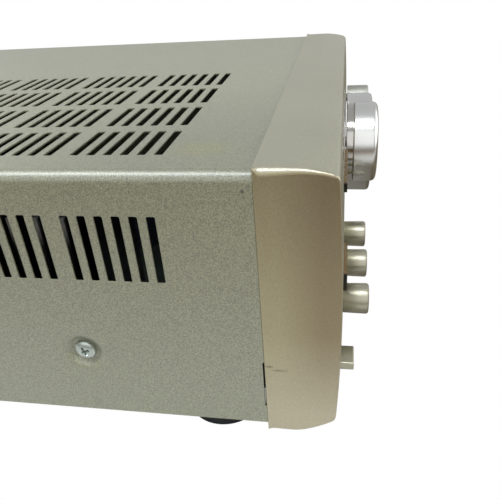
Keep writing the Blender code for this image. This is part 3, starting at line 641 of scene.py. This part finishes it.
def slot_model(tree, given):
    """Prism of a slot with round corners: its length lies along X and its depth along Z."""
    sides = add_node(tree, "GeometryNodeCurvePrimitiveQuadrilateral", {
        "Width": given["Slot Length"], "Height": given["Slot Width"]})
    soft = add_node(tree, "GeometryNodeFilletCurve", {
        "Curve": sides.outputs[0], "Radius": given["Slot Corner"], "Count": 3}, mode="POLY")
    path = add_node(tree, "GeometryNodeCurvePrimitiveLine", {
        "Direction": (0, 0, 1), "Length": given["Slot Depth"]}, mode="DIRECTION")
    return add_node(tree, "GeometryNodeCurveToMesh", {
        "Curve": path.outputs[0], "Profile Curve": soft.outputs[0], "Fill Caps": True}).outputs[0]


def vent_slots():
    """Cutter for every slot: four rows on the top and an upright row on the left side."""
    points = []
    for k in range(SLOT_GROUPS * SLOTS_IN_GROUP):
        y = PANEL_REAR + SLOTS_FROM_PANEL + k * SLOT_PITCH + k // SLOTS_IN_GROUP * GROUP_SPACE
        for row in range(SLOT_ROWS):
            x = -HALF + ROWS_FROM_SIDE + row * ROW_PITCH + SLOT_LENGTH / 2
            points.append(((x, y, COVER_TOP - CUT), UNTURNED))
        points.append(((-HALF - CUT, y, SIDE_SLOT_TOP - SLOT_LENGTH / 2), (0.0, pi / 2, 0.0)))
    sizes = (("Slot Length", SLOT_LENGTH), ("Slot Width", SLOT_WIDTH), ("Slot Depth", 2 * CUT),
             ("Slot Corner", SLOT_CORNER))
    return spread("vent_slots", points, "cover_paint", slot_model,
                  [(label, "NodeSocketFloat", size * MM) for label, size in sizes])


def cover_outline():
    """Section of the folded sheet, seen from the front."""
    x, z = HALF - BEND, COVER_TOP - BEND
    right = [(HALF - SHEET, COVER_FOOT), (HALF, COVER_FOOT)] + arc(x, z, BEND, 0, pi / 2, 12)
    inside = arc(x, z, BEND - SHEET, pi / 2, 0, 12)
    return right + [(-x, z) for x, z in reversed(right)] + [(-x, z) for x, z in reversed(inside)] + inside


def cover():
    """Folded sheet cover with rounded bends, slots, and a dished seat at each side screw."""
    shape = bmesh.new()
    add_extruded(shape, cover_outline(), PANEL_REAR + COVER_GAP, COVER_REAR, "Y")
    notches = bmesh.new()
    for side in (-HALF, HALF):
        add_box(notches, (side - CUT, PANEL_REAR - CUT, NOTCH_LOW),
                (side + CUT, PANEL_REAR + NOTCH_LENGTH, NOTCH_HIGH))
    seats = [((side * HALF, y, SIDE_SCREW_Z), aim((side, 0, 0))) for y in SIDE_SCREWS for side in (-1, 1)]
    wells = spread_copies("seat_wells", seats, "cover_paint",
                          turned(plug(SEAT_RADIUS, -CUT, CUT), ORIGIN, 64, "Z"))
    mesh = baked(shape, (vent_slots(), notches, wells), bevel=0.12)
    flat_sides(piece("cover_shell", mesh, "cover_paint", stands_for=("top_cover",)))
    pressed = [(0.0, SEAT_DEPTH), (5.6, SEAT_DEPTH), (6.2, 2.4), (6.6, 2.1), (7.2, 1.5), (8.2, 0.7),
               (9.2, 0.22), (SEAT_RADIUS - 0.2, 0.02), (SEAT_RADIUS + 0.2, 0.02)]
    upper = [(r, -deep) for r, deep in pressed]
    under = [(r, -deep - SHEET) for r, deep in reversed(pressed)]
    dish = turned(upper + under, ORIGIN, 64, "Z")
    mesh = spread_copies("screw_seats", seats, "cover_paint", dish)
    piece("screw_seats", mesh, "cover_paint", smooth=1.2)


def face_at(z):
    """Where the crowned face lies at a height."""
    return FRONT + FACE_BOW * (2 * (FACE_HIGH - z) / (FACE_HIGH - FACE_LOW) - 1) ** 2


def panel_outline(steps=10, face_steps=24):
    """Section of the panel from the side: falling top edge, crowned face, lifted bottom edge."""
    fall = PANEL_DEPTH - TOP_FLAT - FACE_BOW
    points = [(PANEL_REAR, PANEL_TOP), (PANEL_REAR - TOP_FLAT, PANEL_TOP)]
    for i in range(1, steps + 1):
        t = i / steps
        points.append((PANEL_REAR - TOP_FLAT - fall * t, PANEL_TOP - TOP_FALL * t * t))
    for i in range(face_steps + 1):
        z = FACE_HIGH + (FACE_LOW - FACE_HIGH) * i / face_steps
        points.append((face_at(z), z))
    lift = PANEL_DEPTH - BOTTOM_FLAT - FACE_SET_BACK
    for i in range(steps, -1, -1):
        t = i / steps
        points.append((PANEL_REAR - BOTTOM_FLAT - lift * t, PANEL_FOOT + BOTTOM_LIFT * t ** 1.5))
    points.append((PANEL_REAR, PANEL_FOOT))
    return softened(points, step=0.8, passes=6, sharp_from=PANEL_REAR - END_RAMP)


def end_radius(y, z):
    """Rounding of the panel's end edge: crisp on the cover, full just ahead of it and small at the face."""
    full = END_FULL if z > COVER_TOP / 2 else END_FULL * END_LOWER
    ahead = min(1.0, (PANEL_REAR - y) / END_RAMP)
    return END_CRISP + ahead * (END_SMALL + full * max(0.0, (y - FRONT) / PANEL_DEPTH))


def panel_holes():
    """Cutter for the shafts, the jack, the keys, the power button and the windows."""
    holes = bmesh.new()
    for x, z in KNOBS.values():
        add_turned(holes, plug(SHAFT_HOLE, -HOLE_DEPTH, CUT), (x, FRONT, z), 32)
    add_turned(holes, plug(JACK_HOLE, -HOLE_DEPTH, CUT), (JACK[0], FRONT, JACK[1]), 40)
    first, last = KEYS[0], KEYS[-1]
    key_row = ((first[0] + last[0]) / 2, first[1], last[0] - first[0] + KEY_WIDTH, KEY_HEIGHT)
    window = WINDOW_CORNER + HOLE_PLAY / 2
    for (x, z, width, height), corner, steps in (
            (key_row, KEY_HOLE_CORNER, 4), (POWER, POWER_HOLE_CORNER, 4), (DISPLAY, window, 6),
            (SENSOR, window, 6)):
        outline = rounded((x, z), width + HOLE_PLAY, height + HOLE_PLAY, corner, steps)
        add_extruded(holes, outline, FRONT - CUT, FRONT + HOLE_DEPTH, "Y")
    return holes


def front():
    """Crowned front panel with softened ends, hollowed from behind and cut for its controls."""
    shape = bmesh.new()
    outline = panel_outline()
    add_soft_extruded(shape, outline, -HALF, HALF, "X", [end_radius(y, z) for y, z in outline], 6)
    hollow = bmesh.new()
    add_extruded(hollow, HOLLOW, -HALF + PANEL_WALL, HALF - PANEL_WALL, "X")
    mesh = baked(shape, (hollow, panel_holes()))
    flat_sides(piece("front_shell", mesh, "panel_champagne", stands_for=("front_panel",), smooth=0.45))


# Windows

def lens(name, at, proud, deep, look):
    """Glossy window with straight walls and a crisp edge."""
    x, z, width, height = at
    outline = rounded((x, z), width, height, WINDOW_CORNER)
    face = face_at(z)
    shape = bmesh.new()
    steps = [(0.0, -deep), (0.0, proud - 0.35), (0.04, proud - 0.2), (0.14, proud - 0.07),
             (0.3, proud - 0.02), (1.6, proud)]
    rings = []
    for taken, out in steps:
        rings.append([shape.verts.new((a, face - out, b)) for a, b in inset(outline, taken)])
    close_rings(shape, rings)
    piece(name + "_lens", shape, look, slot="smoked_acrylic", stands_for=(name + "_window",), smooth=0.8)


def window_rim(name, at):
    """Thin pale rim round a window, on the crowned face."""
    x, z, width, height = at
    outline = rounded((x, z), width, height, WINDOW_CORNER)
    outer, inner = inset(outline, -0.9), inset(outline, -0.05)
    section = ((outer, -0.4), (outer, 0.1), (inset(outer, 0.2), 0.22), (inset(inner, -0.2), 0.22),
               (inner, 0.1), (inner, -0.4))
    rim = bmesh.new()
    loops = [[rim.verts.new((a, face_at(b) - out, b)) for a, b in ring] for ring, out in section]
    bridge(rim, loops + loops[:1])
    piece(name + "_rim", rim, "rim_silver", slot="polished_aluminium", smooth=0.7)


def windows():
    for name, at, proud, deep, look in (("display", DISPLAY, DISPLAY_PROUD, 3.0, "smoked_acrylic"),
                                        ("sensor", SENSOR, SENSOR_PROUD, 4.0, "bronze_acrylic")):
        lens(name, at, proud, deep, look)
        window_rim(name, at)


# Controls

def volume_profile(r, tall):
    """Shallow dished face, rounded rim and a thin flange at the foot."""
    return [(r - 9.0, tall - 0.7), (r - 8.2, tall - 0.55), (r - 7.0, tall - 0.05), (r - 6.4, tall),
            (r - 2.6, tall), (r - 1.5, tall - 0.25), (r - 0.7, tall - 0.8), (r - 0.2, tall - 1.6),
            (r, tall - 2.6), (r - 0.1, 1.8), (r + 0.1, 1.4), (r + 0.5, 1.0), (r + 0.6, 0.8), (r + 0.6, 0.6)]


def selector_profile(r, tall):
    """Shallow dished face, rounded rim and a neck that carries the bright ring."""
    return [(r - 7.0, tall - 0.6), (r - 6.3, tall - 0.5), (r - 5.5, tall - 0.05), (r - 5.0, tall),
            (r - 3.2, tall), (r - 2.2, tall - 0.15), (r - 1.2, tall - 0.6), (r - 0.5, tall - 1.3),
            (r - 0.12, tall - 2.2), (r, tall - 3.2), (r, 4.9), (r - 0.3, 4.6), (r - 0.9, 4.4),
            (r - 2.0, 4.4), (r - 2.0, 0.8)]


def tuning_profile(r, tall):
    return [(r - 1.4, tall), (r - 0.7, tall - 0.2), (r - 0.2, tall - 0.7), (r, tall - 1.4), (r, 0.6)]


def tone_profile(r, tall):
    return [(r - 1.2, tall), (r - 0.6, tall - 0.15), (r - 0.2, tall - 0.5), (r, tall - 1.3), (r - 0.2, 0.9),
            (r - 0.4, 0.6)]


def bored(outside, bore=3.1, deep=8.0):
    """Close a knob's outside over its face and add the bore for its shaft."""
    back = outside[-1][1]
    return [(0.0, outside[0][1])] + outside + [(bore, back), (bore, back + deep), (0.0, back + deep)]


def knobs():
    """Turned knobs with softened rims, each with a pointer line on its face."""
    tone = (tone_profile(*TONE), "satin_champagne", 64)
    shapes = {"volume": (volume_profile(*VOLUME), "polished_aluminium", 160),
              "selector": (selector_profile(*SELECTOR), "polished_aluminium", 128),
              "tuning": (tuning_profile(*TUNING), "satin_aluminium", 72)}
    for name, (x, z) in KNOBS.items():
        outside, look, around = shapes.get(name, tone)
        body = name + "_turner"
        face = face_at(z)
        slot = "satin_champagne" if look == "satin_aluminium" else look
        piece(name + "_turned", turned(bored(outside), (x, face, z), around), look, body, slot,
              stands_for=(name + "_knob",), smooth=0.6)
        reach, tall = outside[0]
        low = (x - POINTER_WIDTH / 2, face - tall - POINTER_PROUD, z + reach * POINTER_FROM)
        high = (x + POINTER_WIDTH / 2, face - tall + POINTER_DEEP, z + reach * POINTER_TO)
        line = soft_box(low, high, radius=0.1, steps=2)
        piece(name + "_pointer", line, "black_plastic", body)


def selector_ring():
    """Bright ring on the selector's neck."""
    x, z = KNOBS["selector"]
    r = SELECTOR[0]
    ring = [(r - 2.0, 4.3), (r - 1.1, 4.3), (r - 0.9, 4.1), (r - 0.9, 0.8), (r - 1.1, 0.6), (r - 2.0, 0.6),
            (r - 2.0, 4.3)]
    piece("selector_ring", turned(ring, (x, face_at(z), z), 128), "bright_ring", "selector_turner",
          "polished_aluminium")


def button(outline, z, proud, length, edge):
    """Key that stands proud of the face, with its ends softened."""
    shape = bmesh.new()
    top = face_at(z) - proud
    add_soft_extruded(shape, outline, top, top + length, "Y", edge)
    return shape


def buttons():
    """Power button and the row of preset keys."""
    x, z, width, height = POWER
    outline = rounded((x, z), width, height, BUTTON_CORNER, 4)
    cap = button(outline, z, POWER_PROUD, POWER_LENGTH, edge=0.5)
    piece("power_cap", cap, "satin_champagne", "power_push", stands_for=("power_button",), smooth=0.6)
    for i, (x, z) in enumerate(KEYS, start=1):
        outline = rounded((x, z), KEY_WIDTH, KEY_HEIGHT, BUTTON_CORNER, 5)
        cap = button(outline, z, KEY_PROUD, KEY_LENGTH, edge=0.2)
        piece("preset_cap_%d" % i, cap, "bronze_acrylic", "preset_push_%d" % i, "smoked_acrylic",
              ("preset_key_%d" % i,), 0.6)


def on_circle(knob, radius, angle):
    """Place on the face at an angle round a knob."""
    x, z = KNOBS[knob]
    px, pz = x + radius * sin(angle), z + radius * cos(angle)
    return px, face_at(pz), pz


def dial_marks():
    """Printed dashes round the volume knob and dots at the tone knobs' ends and middles."""
    dashes = []
    for k in range(DASHES):
        angle = radians(-KNOB_TURN + 2 * KNOB_TURN * k / (DASHES - 1))
        dashes.append((on_circle("volume", DASH_CIRCLE, angle), (0.0, angle, 0.0)))
    dash = bmesh.new()
    add_box(dash, [-size / 2 for size in DASH_SIZE], [size / 2 for size in DASH_SIZE])
    dots = [(on_circle(knob, DOT_CIRCLE, radians(turn)), UNTURNED)
            for knob in TONE_KNOBS for turn in (-KNOB_TURN, 0, KNOB_TURN)]
    dot = turned(plug(DOT_RADIUS, -DOT_RISE, DOT_RISE), ORIGIN, 16)
    for name, places, mark in (("volume_marks", dashes, dash), ("tone_marks", dots, dot)):
        mesh = spread_copies(name, places, "printed_ink", mark)
        piece(name, mesh, "printed_ink", slot="black_plastic")


# Fasteners and feet

def screw_model(radius, tall):
    """Pan head with a cross recess; its seat is at the origin and its top looks along +Z."""
    profile = [(0.0, tall), (radius * 0.45, tall * 0.97), (radius * 0.75, tall * 0.84),
               (radius * 0.93, tall * 0.58), (radius, tall * 0.25), (radius * 0.99, 0.0), (0.0, 0.0)]
    head = turned(profile, ORIGIN, 40, "Z")
    deep, wide, long = tall * 0.35, radius * 0.13, radius * 0.55
    star = []
    for k in range(4):
        a = k * pi / 2
        for u, v in ((long, -wide), (long, wide), (wide, wide)):
            star.append((u * cos(a) - v * sin(a), u * sin(a) + v * cos(a)))
    cross = bmesh.new()
    close_rings(cross, [[cross.verts.new((a * size, b * size, z)) for a, b in star]
                        for size, z in ((0.75, deep), (1.05, tall + 1))])
    return baked(head, (cross,), bevel=0.05)


def screws():
    """Screws of the cover's sides, the rear panel and the pan, with their crosses turned unevenly."""
    side, back, under = [], [], []
    for k, y in enumerate(SIDE_SCREWS):
        side.append(((-HALF + SEAT_DEPTH, y, SIDE_SCREW_Z), aim((-1, 0, 0), 0.35 + k)))
        side.append(((HALF - SEAT_DEPTH, y, SIDE_SCREW_Z), aim((1, 0, 0), 0.8 - k)))
    for k, (x, z) in enumerate(REAR_SCREWS):
        back.append(((x, REAR_OUT, z), aim((0, 1, 0), 0.4 * k)))
    for x, y in PAN_SCREWS:
        under.append(((x, y, COVER_FOOT), aim((0, 0, -1), 0.5 * x)))
    for name, places, head in (("cover_screws", side, COVER_HEAD), ("rear_screws", back, REAR_HEAD),
                               ("pan_screws", under, PAN_HEAD)):
        mesh = spread_copies(name, places, "screw_zinc", screw_model(*head))
        piece(name, mesh, "screw_zinc", slot="zinc_steel")


def feet():
    """Round feet with a grooved side, a soft sole and a screw well."""
    for name in ("foot_front_left", "foot_rear_left", "foot_front_right", "foot_rear_right"):
        low, high = node_box(name)
        r, tall = (high[0] - low[0]) / 2, high[2]
        middle = ((low[0] + high[0]) / 2, (low[1] + high[1]) / 2, 0.0)
        profile = [(0.0, tall), (r - 2.0, tall), (r - 1.3, tall - 0.3), (r - 1.0, tall - 1.0),
                   (r - 0.5, 6.6), (r - 0.9, 6.3), (r - 0.9, 5.7), (r - 0.4, 5.4), (r, 0.9),
                   (r - 0.15, 0.3), (r - 0.6, 0.0), (7.0, 0.0), (6.4, 0.4), (6.0, 3.5), (0.0, 3.5)]
        piece(name + "_moulded", turned(profile, middle, 72, "Z"), "foot_rubber", slot="black_plastic",
              stands_for=(name,), smooth=0.6)


# Rear

def line_sockets():
    """Coloured rings at the roots of the line sockets, and the sockets' metal sleeves."""
    columns = [LINE_X + SOCKET_PITCH * (i - 1.5) for i in range(4)]
    rows = [LINE_Z + SOCKET_RISE * (i - 0.5) for i in range(2)]
    places = [[((x, SOCKET_BASE, z), UNTURNED) for x in columns] for z in rows]
    r = SOCKET_RADIUS
    ring = [(r, 0.2), (6.2, 0.2), (6.2, -1.4), (5.6, -1.9), (r, -1.9), (r, 0.2)]
    for row, colour in enumerate(("red_plastic", "white_plastic")):
        name = "line_rings_%d" % row
        mesh = spread_copies(name, places[row], colour, turned(ring, ORIGIN, 36))
        piece(name, mesh, colour, slot="black_plastic")
    sleeve = [(r, -2.4), (4.5, -2.5), (4.5, -9.6), (4.3, -10.0), (r, -10.0)]
    mesh = spread_copies("line_sleeves", places[0] + places[1], "gold_plate", turned(sleeve, ORIGIN, 36))
    piece("line_sleeves", mesh, "gold_plate")


def cap_bands():
    """Colour bands on the speaker caps, red and black by turns."""
    for i, (x, z) in enumerate(SPEAKERS, start=1):
        band = turned([(5.7, -8.2), (5.95, -8.4), (5.95, -10.6), (5.7, -10.8)], (x, SOCKET_BASE, z), 40)
        piece("cap_band_%d" % i, band, "red_plastic" if i % 2 else "black_plastic", "cap_turner_%d" % i,
              slot="black_plastic")


# Studio, in metres

AMBIENT = 0.39                              # strength of the soft surround
MIRRORED = 0.3                              # how far metal and glass see the white surround instead
FLOOR_REACH = 6.0
# Painted shade on the floor, seen only in reflections and bounced light: dark to the left, and a painted
# shadow of the receiver ahead of its face
FLOOR_SHADE, FLOOR_PALE, FLOOR_SHADOW = (0.13, 0.075, 0.033, 1), (0.63, 0.62, 0.60, 1), (0.15, 0.125, 0.085, 1)
SHADE_TO_PALE = (-0.50, -0.19)               # across the width
SHADOW_ACROSS, SHADOW_AHEAD = (-0.15, -0.10), (-0.15, -0.19)     # across the width and to the front
FILM_WIDTH, PICTURE_WIDTH, FOCAL_LENGTH = 36.0, 500.0, 530.97     # millimetres, pixels, pixels
CAMERA_PLACE = Vector((-0.30675, -0.15828, 0.19694))
CAMERA_TURN, CAMERA_DROP, CAMERA_ROLL = radians(11.250), radians(30.023), radians(-4.265)


def floor_material():
    """White to the camera; else pale near the object, painted shade on the left, painted shadow before the
    face.
    """
    made = bpy.data.materials.new("pale_floor")
    made.use_nodes = True
    tree = made.node_tree
    tree.nodes.clear()
    place = add_node(tree, "ShaderNodeTexCoord").outputs["Object"]
    where = add_node(tree, "ShaderNodeSeparateXYZ", {0: place}).outputs

    def fade(axis, start, stop):
        inputs = {"Value": where[axis], "From Min": start, "From Max": stop}
        return add_node(tree, "ShaderNodeMapRange", inputs).outputs[0]
    tone = blend(tree, fade("X", *SHADE_TO_PALE), FLOOR_SHADE, FLOOR_PALE)
    ahead = math(tree, "MULTIPLY", fade("Y", *SHADOW_AHEAD), fade("X", *SHADOW_ACROSS))
    dull = add_node(tree, "ShaderNodeBsdfDiffuse", {"Color": blend(tree, ahead, tone, FLOOR_SHADOW)})
    white = add_node(tree, "ShaderNodeEmission", {"Color": (1, 1, 1, 1), "Strength": 1.0})
    seen = add_node(tree, "ShaderNodeLightPath").outputs["Is Camera Ray"]
    mix = add_node(tree, "ShaderNodeMixShader", {0: seen, 1: dull.outputs[0], 2: white.outputs[0]})
    add_node(tree, "ShaderNodeOutputMaterial", {"Surface": mix.outputs[0]})
    return made


def floor():
    mesh = bpy.data.meshes.new("floor")
    corners = [(x * FLOOR_REACH, y * FLOOR_REACH, 0.0) for x, y in ((-1, -1), (1, -1), (1, 1), (-1, 1))]
    mesh.from_pydata(corners, [], [(0, 1, 2, 3)])
    mesh.materials.append(floor_material())
    made = bpy.data.objects.new("floor", mesh)
    bpy.context.collection.objects.link(made)


def surround():
    """Soft light all round, white to the camera and partly so to metal and glass."""
    world = bpy.data.worlds.new("studio")
    bpy.context.scene.world = world
    world.use_nodes = True
    tree = world.node_tree
    tree.nodes.clear()
    path = add_node(tree, "ShaderNodeLightPath").outputs
    soft = add_node(tree, "ShaderNodeBackground", {"Color": (0.95, 0.97, 1.0, 1), "Strength": AMBIENT})
    white = add_node(tree, "ShaderNodeBackground", {"Color": (1, 1, 1, 1), "Strength": 1.0})
    mirrored = math(tree, "MAXIMUM", path["Is Glossy Ray"], path["Is Transmission Ray"])
    seen = math(tree, "MAXIMUM", path["Is Camera Ray"], math(tree, "MULTIPLY", mirrored, MIRRORED))
    mix = add_node(tree, "ShaderNodeMixShader", {0: seen, 1: soft.outputs[0], 2: white.outputs[0]})
    add_node(tree, "ShaderNodeOutputWorld", {"Surface": mix.outputs[0]})


def lamp(name, place, target, size, power, colour=(1, 1, 1)):
    """Oblong lamp that looks at a target; power is in watts."""
    data = bpy.data.lights.new(name, "AREA")
    data.shape = "RECTANGLE"
    data.size, data.size_y = size
    data.energy = power
    data.color = colour
    made = bpy.data.objects.new(name, data)
    made.location = place
    made.rotation_euler = (Vector(target) - Vector(place)).to_track_quat("-Z", "Y").to_euler()
    bpy.context.collection.objects.link(made)


def lamps():
    lamp("overhead", (-0.36, 0.3, 1.1), (-0.1, 0.3, 0.1), size=(1.6, 0.2), power=14.5,
         colour=(0.91, 0.95, 1.0))
    lamp("far_side", (1.15, 1.6, 0.6), (0.0, 0.0, 0.13), size=(1.2, 0.8), power=0.8)
    lamp("front_fill", (0.1, -1.5, 0.6), (0.0, -0.16, 0.08), size=(2.2, 1.5), power=15.0)
    lamp("left_side", (-1.15, 0.0, 0.7), (-0.1, 0.0, 0.1), size=(1.8, 1.0), power=3.8)


def camera():
    """The photograph's view, from the left and nearly along the front."""
    data = bpy.data.cameras.new("camera")
    data.sensor_width = FILM_WIDTH
    data.sensor_fit = "HORIZONTAL"
    data.lens = FILM_WIDTH * FOCAL_LENGTH / PICTURE_WIDTH
    data.clip_start = 0.01
    forward = Vector((cos(CAMERA_DROP) * cos(CAMERA_TURN), cos(CAMERA_DROP) * sin(CAMERA_TURN),
                      -sin(CAMERA_DROP)))
    right = forward.cross(Vector((0, 0, 1))).normalized()
    up = right.cross(forward)
    across = right * cos(CAMERA_ROLL) + up * sin(CAMERA_ROLL)
    over = up * cos(CAMERA_ROLL) - right * sin(CAMERA_ROLL)
    made = bpy.data.objects.new("camera", data)
    turn = Matrix((across, over, -forward)).transposed().to_4x4()
    made.matrix_world = Matrix.Translation(CAMERA_PLACE) @ turn
    bpy.context.collection.objects.link(made)
    bpy.context.scene.camera = made


bpy.context.scene.view_settings.view_transform = "Standard"
cover_finish()
panel_finish()
control_finishes()
case_finishes()
inside_finishes()
cad_looks()
cover()
front()
windows()
knobs()
selector_ring()
buttons()
dial_marks()
screws()
feet()
line_sockets()
cap_bands()
floor()
surround()
lamps()
camera()
